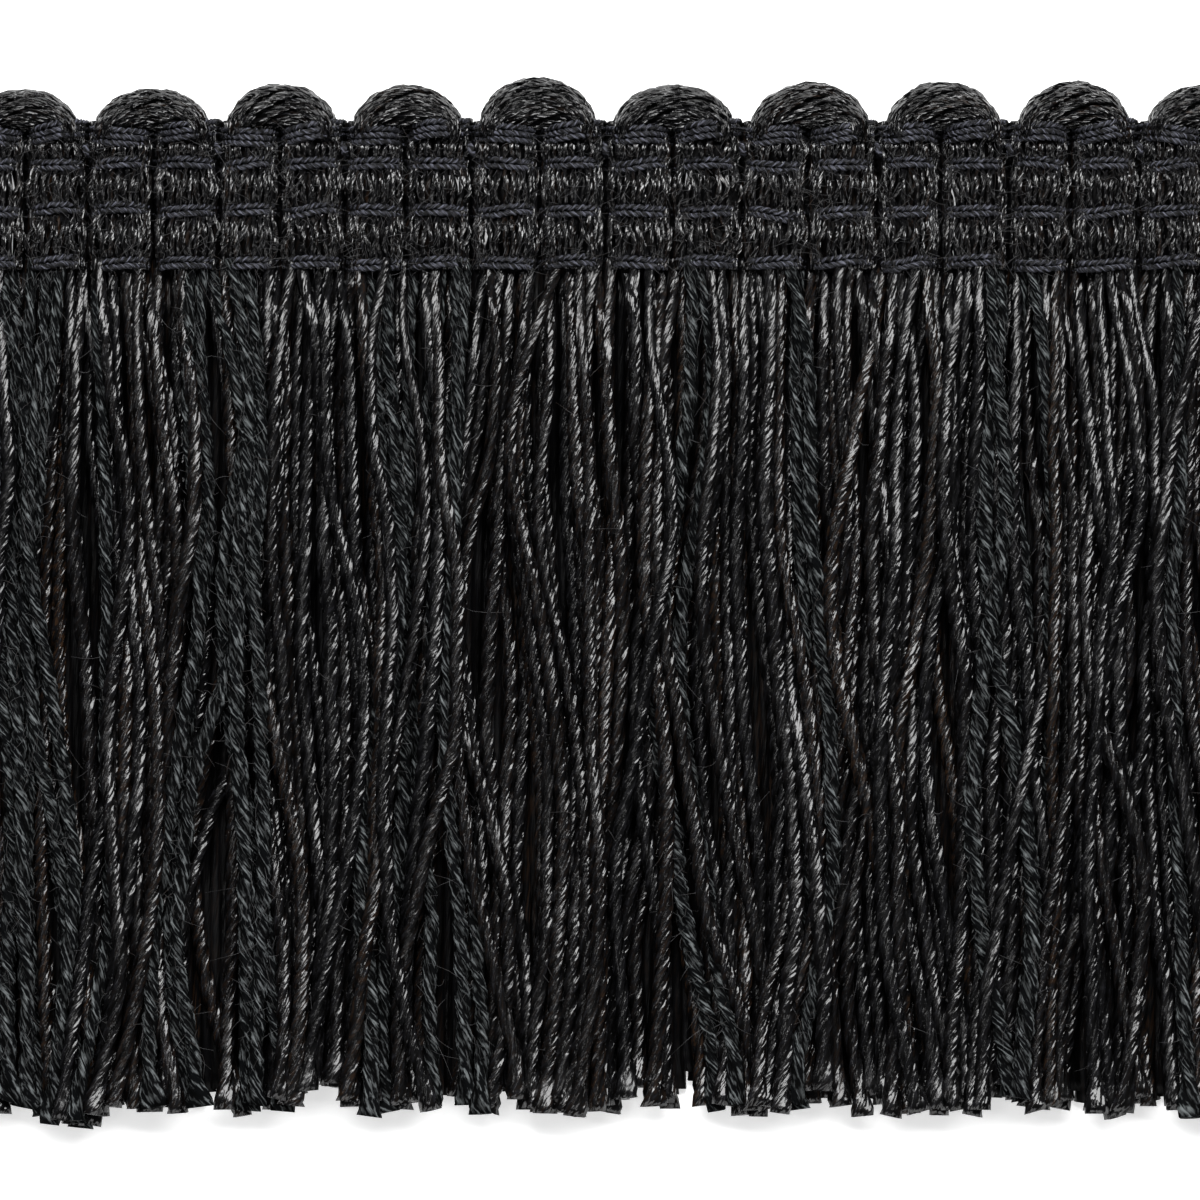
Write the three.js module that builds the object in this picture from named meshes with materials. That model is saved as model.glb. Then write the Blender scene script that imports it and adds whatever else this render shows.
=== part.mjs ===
// Brush fringe trim: a cut length of furnishing trim with a woven, ribbed heading, a scalloped edge of
// looped yarn and a dense skirt of cut yarn ends.
// Units are millimetres. The trim lies on its back: +X runs along the trim, +Y points from the skirt to the
// loops and +Z comes out of its face. The origin lies on the back, under the middle of the whole outline.
import * as THREE from "three";
import { mergeGeometries, mergeVertices } from "three/addons/utils/BufferGeometryUtils.js";

// Driving dimensions

// One row for each loop, from left to right. A loop crowns two neighbouring ribs of the heading: "width" is
// that of both ribs, "leftShare" the left rib's part of it, "rise" how far the loop stands above the heading's
// top edge, and "lean" how far its highest point lies to the right of the middle.
const LOOPS = [
  { width: 6.45, leftShare: 0.5, rise: 1.95, lean: 0.1 },
  { width: 6.47, leftShare: 0.53, rise: 1.75, lean: 0.0 },
  { width: 6.52, leftShare: 0.5, rise: 1.7, lean: 0.3 },
  { width: 6.22, leftShare: 0.48, rise: 2.0, lean: -0.2 },
  { width: 6.27, leftShare: 0.48, rise: 1.95, lean: -0.1 },
  { width: 6.62, leftShare: 0.51, rise: 2.4, lean: -0.2 },
  { width: 6.77, leftShare: 0.49, rise: 2.0, lean: 0.2 },
  { width: 6.72, leftShare: 0.48, rise: 2.1, lean: 0.2 },
  { width: 6.47, leftShare: 0.48, rise: 2.1, lean: 0.0 },
  { width: 6.42, leftShare: 0.48, rise: 2.1, lean: -0.3 },
  { width: 6.5, leftShare: 0.49, rise: 1.95, lean: 0.1 },
  { width: 6.45, leftShare: 0.5, rise: 2.0, lean: 0.0 },
];

// One row for each pair of binding threads across the heading: "drop" is how far its middle lies below the
// top edge.
const BINDING_ROWS = [{ drop: 0.5 }, { drop: 1.95 }, { drop: 4.3 }, { drop: 6.85 }];

const HEADING_HEIGHT = 7.3;
const GROOVE_FLOOR = 1.7; // height of the grooves between the ribs
const RIB_CROWN = 3.1; // where a rib bulges between two rows of thread
const THREAD_CROWN = 2.95; // on a row of binding thread
const PINCH_CROWN = 2.55; // where the rib is drawn in beside a row
const EDGE_CROWN = 2.3; // along the top and bottom edges
const THREAD_ROW_WIDTH = 0.9;
const CROWN_UNEVENNESS = 0.12;

const PIECE_GAP = 0.3; // kept between neighbouring pieces

const LOOP_GAP = 0.9; // between neighbouring loops
const LOOP_EYE = 0.07; // inner radius of the loop's arch, as a share of the outer
const LOOP_BASE = 0.25; // lowest point above the back
const LOOP_THICKNESS = 2.6;
const LOOP_STEPS = 8;
const LOOP_RIDGES = 5; // yarns that show around the loop's bundle
const LOOP_RIDGE_DEPTH = 0.07;
const LOOP_TWIST = 1.1; // turn of the bundle from foot to foot, in radians

const BACKING_HEIGHT = 0.8; // narrow strip that holds the skirt's roots
const BACKING_CROWN = 2.8;
const BACKING_GROOVE = 2.4;
const SKIRT_LENGTH = 41.4;
const STRANDS_ACROSS_RIB = 4;
const STRAND_LAYERS = 3;
const STRAND_WIDTH = 0.58;
const STRAND_THICKNESS = 0.62;
const LAYER_PITCH = 0.78;
const LAYER_STAGGER = 0.25; // sideways shift of each layer, as a share of the strands' pitch
const ROOT_SPREAD = 0.88; // share of the rib that its strands fill where they leave the backing
const ROOT_LIFT = 0.15; // height of the lowest roots above the back
const ROOT_LAYER_PITCH = 0.72;
const CUT_UNEVENNESS = 0.6; // how far a cut end strays from its neighbours

// Where the line of cut ends runs short of its even length, or past it: "at" is the place along the trim from
// its middle, "reach" half the width of the dip, and "shorter" its depth.
const CUT_DIPS = [
  { at: -26.6, reach: 1.2, shorter: -0.8 },
  { at: -14.7, reach: 1.5, shorter: 1.1 },
  { at: -5.1, reach: 0.6, shorter: 0.9 },
  { at: 1.3, reach: 0.8, shorter: 0.8 },
  { at: 3.8, reach: 0.5, shorter: 1.5 },
  { at: 10.0, reach: 0.7, shorter: 0.7 },
  { at: 19.3, reach: 1.1, shorter: 0.6 },
];

// Stations down a strand: "along" is the share of its length, "fan" how far it has opened from the rib's bunch
// to an even spread, "part" how far it has followed its lock sideways and "lift" how high the face's strands
// bow out.
const STRAND_STATIONS = [
  { along: 0, fan: 0, part: 0, lift: 0 },
  { along: 0.14, fan: 0.6, part: 0.1, lift: 0.3 },
  { along: 0.55, fan: 1, part: 0.6, lift: 0.15 },
  { along: 1, fan: 1, part: 1, lift: 0 },
];

// Waves along the trim that gather the strands into locks: neighbours close up and part again, without
// crossing.
const LOCK_WAVES = [
  { length: 14.3, reach: 0.22, phase: 0.4 },
  { length: 7.1, reach: 0.07, phase: 2.1 },
];

// Derived places

const TRIM_LENGTH = LOOPS.reduce((sum, loop) => sum + loop.width, 0);
const BACKING_TOP = -HEADING_HEIGHT - PIECE_GAP;
const BACKING_BOTTOM = BACKING_TOP - BACKING_HEIGHT;
const ribs = layOutRibs();

// The ribs from left to right as { start, width }, two for each loop.
function layOutRibs() {
  let start = -TRIM_LENGTH / 2;
  return LOOPS.flatMap(({ width, leftShare }) => {
    const left = { start, width: width * leftShare };
    const right = { start: start + left.width, width: width - left.width };
    start += width;
    return [left, right];
  });
}

// An even-looking scatter between -1 and 1 that is the same on every run.
function scatter(item, draw) {
  const ITEM_STEP = 12.9898;
  const DRAW_STEP = 78.233;
  const REACH = 43758.5453;
  const wave = REACH * Math.sin(item * ITEM_STEP + draw * DRAW_STEP);
  return 2 * (wave - Math.floor(wave)) - 1;
}

// A geometry of these points, with three indices for each triangle.
function skin(points, index) {
  const geometry = new THREE.BufferGeometry().setFromPoints(points);
  geometry.setIndex(index);
  return geometry;
}

// Joins closed rings of points into one skin, with a flat fan over its end and, unless that is left open, its
// start. Every ring has the same count of points and runs anticlockwise as seen from beyond the last ring.
function loft(rings, { openStart = false } = {}) {
  const count = rings[0].length;
  const index = [];
  for (let ring = 0; ring + 1 < rings.length; ring += 1) {
    for (let k = 0; k < count; k += 1) {
      const a = ring * count + k;
      const b = ring * count + ((k + 1) % count);
      index.push(a, b, a + count, b, b + count, a + count);
    }
  }
  const last = (rings.length - 1) * count;
  for (let k = 1; k + 1 < count; k += 1) {
    if (!openStart) {
      index.push(0, k + 1, k);
    }
    index.push(last, last + k, last + k + 1);
  }
  return skin(rings.flat(), index);
}

// Heading

// Places across the ribs, from left to right: "swell" is 0 in a groove and 1 on a rib's crown.
function acrossRibs() {
  const RIB_PROFILE = [
    { across: 0, swell: 0 },
    { across: 0.2, swell: 0.8 },
    { across: 0.5, swell: 1 },
    { across: 0.8, swell: 0.8 },
  ];
  const places = ribs.flatMap(({ start, width }, rib) =>
    RIB_PROFILE.map(({ across, swell }) => ({ x: start + across * width, swell, rib })),
  );
  return [...places, { x: TRIM_LENGTH / 2, swell: 0, rib: ribs.length }];
}

// The heading's sections, from its top edge to its bottom edge: a crest on each row of thread, the rib drawn in
// on both sides of it, and the rib's full bulge halfway between two rows.
function headingSections() {
  const reach = THREAD_ROW_WIDTH / 2;
  const inner = BINDING_ROWS.flatMap(({ drop }, row) => {
    const crest = { drop, crown: THREAD_CROWN };
    if (row === 0) {
      return [crest];
    }
    const above = BINDING_ROWS[row - 1].drop;
    return [
      { drop: above + reach, crown: PINCH_CROWN },
      { drop: (above + drop) / 2, crown: RIB_CROWN },
      { drop: drop - reach, crown: PINCH_CROWN },
      crest,
    ];
  });
  return [{ drop: 0, crown: EDGE_CROWN }, ...inner, { drop: HEADING_HEIGHT, crown: EDGE_CROWN }];
}

// The heading: a flat back, and a face that swells into one rounded rib after another. Each ring runs up the
// back and down the face.
function headingGeometry() {
  const sections = headingSections();
  const rings = acrossRibs().map(({ x, swell, rib }) => [
    new THREE.Vector3(x, -HEADING_HEIGHT, 0),
    new THREE.Vector3(x, 0, 0),
    ...sections.map(({ drop, crown }, k) => {
      const height = crown + CROWN_UNEVENNESS * scatter(rib, k);
      return new THREE.Vector3(x, -drop, GROOVE_FLOOR + (height - GROOVE_FLOOR) * swell);
    }),
  ]);
  return loft(rings);
}

// Scalloped edge

// One loop: a bundle of yarn that leaves the left rib, arches over and goes down into the right rib. Each ring
// is the bundle's section in a plane through the eye of the arch, ridged by its yarns, which turn a little on
// the way.
function loopGeometry({ middle, halfWidth, rise, lean }) {
  const foot = PIECE_GAP;
  const centreHeight = LOOP_BASE + LOOP_THICKNESS / 2;
  const points = 2 * LOOP_RIDGES;
  const rings = [];
  for (let step = 0; step <= LOOP_STEPS; step += 1) {
    const turn = (Math.PI * step) / LOOP_STEPS;
    const twist = (LOOP_TWIST * step) / LOOP_STEPS;
    const ring = [];
    for (let k = 0; k < points; k += 1) {
      const around = (2 * Math.PI * k) / points;
      const ridge = 1 - LOOP_RIDGE_DEPTH * (1 - Math.cos(LOOP_RIDGES * (around + twist)));
      const reach = (1 + LOOP_EYE + (1 - LOOP_EYE) * ridge * Math.cos(around)) / 2;
      ring.push(
        new THREE.Vector3(
          middle - halfWidth * reach * Math.cos(turn) + lean * Math.sin(turn),
          foot + (rise - foot) * reach * Math.sin(turn),
          centreHeight + (LOOP_THICKNESS / 2) * ridge * Math.sin(around),
        ),
      );
    }
    rings.push(ring);
  }
  return loft(rings);
}

// Skirt

// How far the line of cut ends runs short of its even length at one place along the trim.
function cutDip(x) {
  return CUT_DIPS.reduce(
    (sum, { at, reach, shorter }) => sum + shorter * Math.exp(-(((x - at) / reach) ** 2)),
    0,
  );
}

// How far the locks draw a strand of one layer sideways.
function lockShift(x, layer) {
  return LOCK_WAVES.reduce(
    (sum, { length, reach, phase }) => sum + reach * Math.sin((2 * Math.PI * x) / length + phase + layer),
    0,
  );
}

// The rings of one cut strand: a four-sided yarn that leaves its rib's bunch, fans out, follows its lock and
// lies level.
function strandRings({ rib, column, layer, item }) {
  const stagger = layer % 2 === 0 ? LAYER_STAGGER : -LAYER_STAGGER;
  const slot = (column + 0.5 + stagger) / STRANDS_ACROSS_RIB - 0.5;
  const middle = rib.start + rib.width / 2;
  const rootX = middle + slot * rib.width * ROOT_SPREAD;
  const spreadX = middle + slot * rib.width;
  const rootZ = ROOT_LIFT + layer * ROOT_LAYER_PITCH;
  const levelZ = layer * LAYER_PITCH;
  const evenLength = SKIRT_LENGTH - BACKING_HEIGHT - PIECE_GAP;
  const length = evenLength - cutDip(spreadX) + CUT_UNEVENNESS * scatter(item, layer);
  const faceShare = layer / (STRAND_LAYERS - 1);
  const half = STRAND_WIDTH / 2;
  return STRAND_STATIONS.map(({ along, fan, part, lift }) => {
    const x = rootX + (spreadX - rootX) * fan + lockShift(spreadX, layer) * part;
    const y = BACKING_BOTTOM - along * length;
    const z = along === 0 ? rootZ : levelZ + lift * faceShare;
    return [
      new THREE.Vector3(x - half, y, z),
      new THREE.Vector3(x + half, y, z),
      new THREE.Vector3(x + half, y, z + STRAND_THICKNESS),
      new THREE.Vector3(x - half, y, z + STRAND_THICKNESS),
    ];
  });
}

// Fills the strip between two edges that run side by side from left to right. Its triangles, three points
// each, look to the side that has "next" on the left when "edge" is walked from left to right.
function zip(edge, next) {
  const triangles = [];
  let i = 0;
  let j = 0;
  while (i + 1 < edge.length || j + 1 < next.length) {
    const edgeAhead = i + 1 < edge.length ? edge[i + 1].x : Infinity;
    const nextAhead = j + 1 < next.length ? next[j + 1].x : Infinity;
    if (edgeAhead <= nextAhead) {
      triangles.push(edge[i], edge[i + 1], next[j]);
      i += 1;
    } else {
      triangles.push(edge[i], next[j + 1], next[j]);
      j += 1;
    }
  }
  return triangles;
}

// The lower and upper edges of one row of roots, from end to end of the backing: from each root's left corner
// to its right corner lies the root, and from there to the next root's left corner lies bare backing.
function rootRowEdges(roots) {
  const edgeOf = (left, right) => {
    const corners = roots.flatMap((root) => [root[left], root[right]]);
    const end = corners[0].clone().setX(-TRIM_LENGTH / 2);
    return [end, ...corners, end.clone().setX(TRIM_LENGTH / 2)];
  };
  return { lower: edgeOf(0, 1), upper: edgeOf(3, 2) };
}

// The skin of the backing, open where each strand leaves its lower face. "rows" holds the root rings of each
// layer, from left to right. The edges follow one another round the backing.
function backingGeometry(rows) {
  const places = acrossRibs();
  const grooves = places.filter(({ swell }) => swell === 0);
  const swelling = BACKING_CROWN - BACKING_GROOVE;
  const faceEdge = (y) =>
    places.map(({ x, swell }) => new THREE.Vector3(x, y, BACKING_GROOVE + swelling * swell));
  const backEdge = (y) => grooves.map(({ x }) => new THREE.Vector3(x, y, 0));
  const rootRows = rows.map(rootRowEdges);
  const edges = [
    backEdge(BACKING_BOTTOM),
    ...rootRows.flatMap(({ lower, upper }) => [lower, upper]),
    faceEdge(BACKING_BOTTOM),
    faceEdge(BACKING_TOP),
    backEdge(BACKING_TOP),
  ];
  const triangles = edges.flatMap((edge, k) => {
    const next = edges[(k + 1) % edges.length];
    if (!rootRows.some(({ lower }) => lower === edge)) {
      return zip(edge, next);
    }
    return edge.flatMap((_, place) =>
      place % 2 === 0 ? zip(edge.slice(place, place + 2), next.slice(place, place + 2)) : [],
    );
  });
  const apex = edges.at(-1);
  for (let k = 0; k + 2 < edges.length; k += 1) {
    triangles.push(apex[0], edges[k][0], edges[k + 1][0]);
    triangles.push(apex.at(-1), edges[k + 1].at(-1), edges[k].at(-1));
  }
  return skin(triangles, Array.from(triangles.keys()));
}

// The skirt: a narrow ribbed backing with every strand growing out of its lower face, all in one skin.
function skirtGeometry() {
  const layers = Array.from({ length: STRAND_LAYERS }, (_, layer) =>
    ribs.flatMap((rib, ribNumber) =>
      Array.from({ length: STRANDS_ACROSS_RIB }, (_, column) =>
        strandRings({ rib, column, layer, item: ribNumber * STRANDS_ACROSS_RIB + column }),
      ),
    ),
  );
  const backing = backingGeometry(layers.map((strands) => strands.map((rings) => rings[0])));
  const strands = layers.flat().map((rings) => loft(rings, { openStart: true }));
  return mergeVertices(mergeGeometries([backing, ...strands]));
}

// Materials

const wovenYarn = new THREE.MeshStandardMaterial({ color: 0x17171a, roughness: 0.75, metalness: 0 });
const lustrousYarn = new THREE.MeshStandardMaterial({ color: 0x1c1b1b, roughness: 0.4, metalness: 0 });
const cutYarn = new THREE.MeshStandardMaterial({ color: 0x151517, roughness: 0.5, metalness: 0 });

// Assembly

function namedMesh(name, geometry, material) {
  geometry.computeVertexNormals();
  const mesh = new THREE.Mesh(geometry, material);
  mesh.name = name;
  return mesh;
}

const trim = new THREE.Group();
trim.add(namedMesh("heading", headingGeometry(), wovenYarn));
trim.add(namedMesh("brush_skirt", skirtGeometry(), cutYarn));
LOOPS.forEach(({ width, rise, lean }, number) => {
  const middle = ribs[2 * number].start + width / 2;
  const halfWidth = (width - LOOP_GAP) / 2;
  const name = `scallop_loop_${String(number + 1).padStart(2, "0")}`;
  trim.add(namedMesh(name, loopGeometry({ middle, halfWidth, rise, lean }), lustrousYarn));
});

// The origin goes under the middle of the outline.
const outline = new THREE.Box3().setFromObject(trim);
const middle = outline.getCenter(new THREE.Vector3());
trim.position.set(-middle.x, -middle.y, -outline.min.z);

const part = new THREE.Group();
part.add(trim);

export default part;
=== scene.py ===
"""Dresses the brush fringe trim as yarn: ribs, binding threads, looped edge, cut skirt and loose fibres.

Places come from the frame. Shapes are worked out in millimetres as whole arrays and written to the meshes
in metres: +X runs along the trim, +Y from the cut ends to the loops and +Z out of its face. A drop is a
distance below the heading's top edge, and a depth is a distance down the skirt.
"""
import math
from collections import namedtuple
from functools import partial

import bpy
import numpy as np
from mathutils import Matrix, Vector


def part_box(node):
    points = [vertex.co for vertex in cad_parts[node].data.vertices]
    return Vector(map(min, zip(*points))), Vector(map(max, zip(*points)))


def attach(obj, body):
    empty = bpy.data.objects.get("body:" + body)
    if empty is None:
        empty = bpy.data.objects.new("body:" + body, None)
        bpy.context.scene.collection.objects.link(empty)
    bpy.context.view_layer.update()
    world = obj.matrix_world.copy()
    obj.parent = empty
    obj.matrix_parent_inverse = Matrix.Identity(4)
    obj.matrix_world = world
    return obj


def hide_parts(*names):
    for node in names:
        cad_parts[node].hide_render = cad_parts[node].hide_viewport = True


bl_info = {
    "name": "Brush fringe trim",
    "version": (1, 0, 0),
    "blender": (4, 5, 0),
    "location": "3D View > Sidebar > Fringe",
    "description": "Makes a length of brush fringe trim from twisted yarn, around its frame",
    "category": "Add Mesh",
}

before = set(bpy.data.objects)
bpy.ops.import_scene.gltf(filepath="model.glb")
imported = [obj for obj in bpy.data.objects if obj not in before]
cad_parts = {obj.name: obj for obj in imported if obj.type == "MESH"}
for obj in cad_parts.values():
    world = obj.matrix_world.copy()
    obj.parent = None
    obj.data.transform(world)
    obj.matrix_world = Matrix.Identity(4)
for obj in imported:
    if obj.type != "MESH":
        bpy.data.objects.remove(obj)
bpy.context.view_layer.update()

MM = 0.001
TURN = 2 * math.pi


def frame_box(node):
    """The lowest and highest corners of a node of the frame, in millimetres."""
    low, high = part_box(node)
    return np.array(low) / MM, np.array(high) / MM


LOOP_NODES = sorted(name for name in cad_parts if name.startswith("scallop_loop"))
LOOP_LOW, LOOP_HIGH = (np.array(corners) for corners in zip(*map(frame_box, LOOP_NODES)))
HEADING_LOW, HEADING_HIGH = frame_box("heading")
SKIRT_LOW, SKIRT_HIGH = frame_box("brush_skirt")
TRIM_MIDDLE = (HEADING_LOW[0] + HEADING_HIGH[0]) / 2
TOP_EDGE = HEADING_HIGH[1]

# The left rib's share of each pair of ribs, from the left end of the trim.
LEFT_RIB_SHARE = np.array([0.5, 0.53, 0.5, 0.48, 0.48, 0.51, 0.49, 0.48, 0.48, 0.48, 0.49, 0.5])

# How far each row of binding thread lies below the heading's top edge.
BINDING_DROPS = np.array([0.5, 1.95, 4.3, 6.85])

# Where the line of cut ends runs short of its even length: place from the trim's middle, half width, depth.
DIP_AT, DIP_REACH, DIP_DEPTH = np.transpose(
    [(-26.6, 1.2, -0.8), (-14.7, 1.5, 1.1), (-5.1, 0.6, 0.9), (1.3, 0.8, 0.8), (3.8, 0.5, 1.5),
     (10.0, 0.7, 0.7), (19.3, 1.1, 0.6)]
)

# Where dull spun yarn lies among the lustrous yarn: place from the trim's middle and half width.
SPUN_AT, SPUN_REACH = np.transpose(
    [(-35.5, 1.2), (-28.8, 1.5), (-25.7, 0.5), (-19.4, 2.0), (-11.2, 1.8), (-7.8, 0.8), (4.5, 0.8),
     (9.2, 0.5), (19.7, 1.4), (27.6, 0.5), (34.0, 1.0)]
)

# Waves along the trim that gather the yarns into locks: wavelength, sideways reach, phase, and how far the
# phase moves on with each millimetre of depth, so that the locks swing.
LOCK_WAVES = ((11.3, 0.9, 0.4, 0.11), (5.3, 0.5, 2.1, -0.13), (2.9, 0.22, 5.0, 0.16))


# Properties


def linear(hex_colour):
    """An sRGB hex colour as linear red, green and blue."""
    shares = (int(hex_colour[k:k + 2], 16) / 255 for k in (1, 3, 5))
    return tuple(c / 12.92 if c <= 0.04045 else ((c + 0.055) / 1.055) ** 2.4 for c in shares)


def size_property(name, description, millimetres):
    """A length given in millimetres and kept in metres."""
    return bpy.props.FloatProperty(
        name=name, description=description, default=millimetres * MM, min=0, unit="LENGTH", precision=5
    )


def colour_property(name, description, hex_colour):
    """A colour given as sRGB hex and kept linear."""
    return bpy.props.FloatVectorProperty(
        name=name, description=description, default=linear(hex_colour), subtype="COLOR", min=0, max=1
    )


class FringeSizes(bpy.types.PropertyGroup):
    """Sizes of the yarns and the thread."""

    yarn_diameter: size_property("Yarn diameter", "Lustrous filament yarn in the skirt", 0.64)
    bound_diameter: size_property("Bound yarn diameter", "The same yarn, pressed in ribs and loops", 0.32)
    spun_diameter: size_property("Spun yarn diameter", "Dull spun yarn among the filament yarn", 0.7)
    thread_diameter: size_property("Thread diameter", "Binding thread across the heading", 0.34)
    yarn_lay: size_property("Yarn lay", "One full turn of the yarn's plies", 4.2)
    bound_lay: size_property("Bound yarn lay", "One full turn of the plies in ribs and loops", 2.4)
    thread_lay: size_property("Thread lay", "One full turn of the thread's plies", 0.75)
    hair_diameter: size_property("Hair diameter", "Loose fibres that stand off the yarn", 0.028)


class FringeColours(bpy.types.PropertyGroup):
    """Colours of the yarns, the thread and the floor."""

    # Each yarn's dark and pale colours are mixed by its fibre noise: pale on raised fibres, dark on deep
    # ones, which is partly fibre tone and partly painted shade between the fibres.
    filament: colour_property("Filament black", "Main colour of the lustrous yarn", "#070708")
    filament_warm: colour_property("Filament brown", "Warm fibres in the lustrous yarn", "#2c1e13")
    filament_pale: colour_property("Filament grey", "Palest fibres in the lustrous yarn", "#1d1d20")
    spun: colour_property("Spun black", "Deep fibres of the dull yarn", "#050607")
    spun_pale: colour_property("Spun grey", "Outer fibres of the dull yarn", "#65696a")
    thread: colour_property("Thread black", "Deep fibres of the binding thread", "#070709")
    thread_pale: colour_property("Thread grey", "Outer fibres of the binding thread", "#53545e")
    hair: colour_property("Hair grey", "Loose fibres that stand off the yarn", "#4a4a4c")
    floor: colour_property("Floor", "Plain pale floor", "#f4f4f4")


# Yarn as arrays


# A yarn's section: each point's angle around it, and its distance as a share of the yarn's radius.
Profile = namedtuple("Profile", "angle reach")

# Swept yarns: points in millimetres, four-sided faces and end caps, UV corners of both, each point's tint.
YarnMesh = namedtuple("YarnMesh", "points faces uv tint")


def plied_profile(plies, points_per_ply, ply_share):
    """The outline of plies that touch the yarn's circle from inside. A ply of radius ply_share, in a yarn of
    radius 1, lies 1 - ply_share off the middle. So at an angle from its own the outline is the far root of
    the cosine rule. Each ply starts at its crease."""
    span = TURN / plies
    from_ply = np.tile(span * (np.arange(points_per_ply) / points_per_ply - 0.5), plies)
    ply_angle = np.repeat(span * np.arange(plies), points_per_ply)
    offset = 1 - ply_share
    reach = offset * np.cos(from_ply) + np.sqrt(ply_share**2 - (offset * np.sin(from_ply)) ** 2)
    return Profile(ply_angle + from_ply, reach)


FINE_YARN = plied_profile(plies=3, points_per_ply=3, ply_share=0.58)
BOUND_YARN = plied_profile(plies=2, points_per_ply=3, ply_share=0.62)
SPUN_YARN = plied_profile(plies=2, points_per_ply=5, ply_share=0.7)
THREAD = plied_profile(plies=2, points_per_ply=3, ply_share=0.66)
ROUND_YARN, HAIR = (Profile(TURN * np.arange(points) / points, np.ones(points)) for points in (6, 3))

RIGHT_HAND, LEFT_HAND = -1, 1
UV_SHIFT = 53.7  # moves each yarn's pattern along, so that neighbours don't repeat it


def path_lengths(centres):
    """How far along its path each station lies: the running sum of the steps between stations."""
    steps = np.linalg.norm(np.diff(centres, axis=1), axis=2)
    return np.pad(np.cumsum(steps, axis=1), ((0, 0), (1, 0)))


def twist(centres, lay, phase, hand):
    """The turn of a yarn's plies along its path: one full turn for each lay, one way or the other."""
    return hand * TURN * path_lengths(centres) / lay + phase


def sweep(centres, radius, profile, turn, tint, flat=1.0, shear=0.0):
    """Carries a profile along many paths at once. At each station the profile lies across the path, turned
    by the angle "turn", at radius times its reach; "flat" presses it towards the floor, and "shear" slants
    it in Y. Nothing goes below the floor. U is the way along the yarn in millimetres, V the way round it."""
    yarns, stations, _ = centres.shape
    count = len(profile.angle)
    along = np.gradient(centres, axis=1)
    along /= np.linalg.norm(along, axis=2, keepdims=True)
    side = np.cross(along, (0.0, 0.0, 1.0))
    side /= np.linalg.norm(side, axis=2, keepdims=True)
    rise = np.cross(side, along)
    radius, flat, shear = (np.broadcast_to(size, turn.shape)[..., None] for size in (radius, flat, shear))
    angle = profile.angle + turn[..., None]
    reach = radius * profile.reach
    sideways = reach * np.cos(angle)
    upwards = reach * np.sin(angle) * flat
    points = centres[:, :, None] + sideways[..., None] * side[:, :, None]
    points = points + upwards[..., None] * rise[:, :, None]
    points[..., 1] += shear * sideways
    np.maximum(points[..., 2], 0, out=points[..., 2])
    index = np.arange(yarns * stations * count).reshape(yarns, stations, count)
    around = np.roll(index, -1, axis=2)
    quads = np.stack([index[:, :-1], index[:, 1:], around[:, 1:], around[:, :-1]], axis=-1)
    caps = np.concatenate([index[:, 0], index[:, -1, ::-1]])
    u = path_lengths(centres) + UV_SHIFT * np.arange(yarns)[:, None]
    u = np.broadcast_to(u[..., None], index.shape)
    v = np.broadcast_to(np.arange(count) / count, index.shape)
    here = np.stack([u, v], axis=-1)
    beyond = here + (0.0, 1.0 / count)
    quad_uv = np.stack([here[:, :-1], here[:, 1:], beyond[:, 1:], beyond[:, :-1]], axis=-2)
    cap_uv = np.concatenate([here[:, 0], here[:, -1, ::-1]])
    return YarnMesh(
        points.reshape(-1, 3), (quads.reshape(-1, 4), caps), (quad_uv, cap_uv),
        np.repeat(tint, stations * count),
    )


def add_object(name, data):
    """A new object of the scene, at the origin."""
    added = bpy.data.objects.new(name, data)
    bpy.context.scene.collection.objects.link(added)
    return added


def make_piece(name, meshes, material, slot, *nodes):
    """Joins swept yarns into one object, which rides on the part and stands for these nodes."""
    starts = np.cumsum([0] + [len(made.points) for made in meshes[:-1]])
    faces = [group + start for made, start in zip(meshes, starts) for group in made.faces]
    uv = np.concatenate([group.ravel() for made in meshes for group in made.uv])
    points = np.concatenate([made.points for made in meshes]) * MM
    corners = np.concatenate([group.ravel() for group in faces])
    sizes = np.concatenate([np.full(len(group), group.shape[1]) for group in faces])
    is_side = np.concatenate([np.full(len(group), k % 2 == 0) for k, group in enumerate(faces)])
    mesh = bpy.data.meshes.new(name)
    mesh.vertices.add(len(points))
    mesh.vertices.foreach_set("co", points.astype(np.float32).ravel())
    mesh.loops.add(len(corners))
    mesh.loops.foreach_set("vertex_index", corners.astype(np.int32))
    mesh.polygons.add(len(sizes))
    mesh.polygons.foreach_set("loop_start", (np.cumsum(sizes) - sizes).astype(np.int32))
    mesh.polygons.foreach_set("use_smooth", is_side)
    mesh.update(calc_edges=True)
    mesh.uv_layers.new(name="Yarn").data.foreach_set("uv", uv.astype(np.float32))
    tint = mesh.attributes.new("tint", "FLOAT", "POINT")
    tint.data.foreach_set("value", np.concatenate([made.tint for made in meshes]).astype(np.float32))
    mesh.materials.append(material)
    piece = add_object(name, mesh)
    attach(piece, "root")
    if nodes:
        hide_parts(*nodes)


def ease(share):
    """A smooth step from 0 to 1."""
    share = np.clip(share, 0, 1)
    return share * share * (3 - 2 * share)


# Ribs


def rib_edges():
    """Where the grooves lie along the trim: two ribs stand under each loop."""
    gaps = (LOOP_HIGH[:-1, 0] + LOOP_LOW[1:, 0]) / 2
    pair_edges = np.concatenate([[HEADING_LOW[0]], gaps, [HEADING_HIGH[0]]])
    splits = pair_edges[:-1] + np.diff(pair_edges) * LEFT_RIB_SHARE
    return np.sort(np.concatenate([pair_edges, splits]))


RIB_EDGES = rib_edges()
RIB_MIDDLE = (RIB_EDGES[:-1] + RIB_EDGES[1:]) / 2
RIB_WIDTH = np.diff(RIB_EDGES)

RIB_CORE = 1.2  # height of a rib's axis above the back
PINCH_CROWN, BULGE_CROWN = 2.2, 2.8  # height of a rib under a band of thread and between two bands
PINCH_SHARE, BULGE_SHARE = 0.94, 1.0  # a rib's width there, as a share of its place between two grooves
HALF_BAND = 0.3


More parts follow.
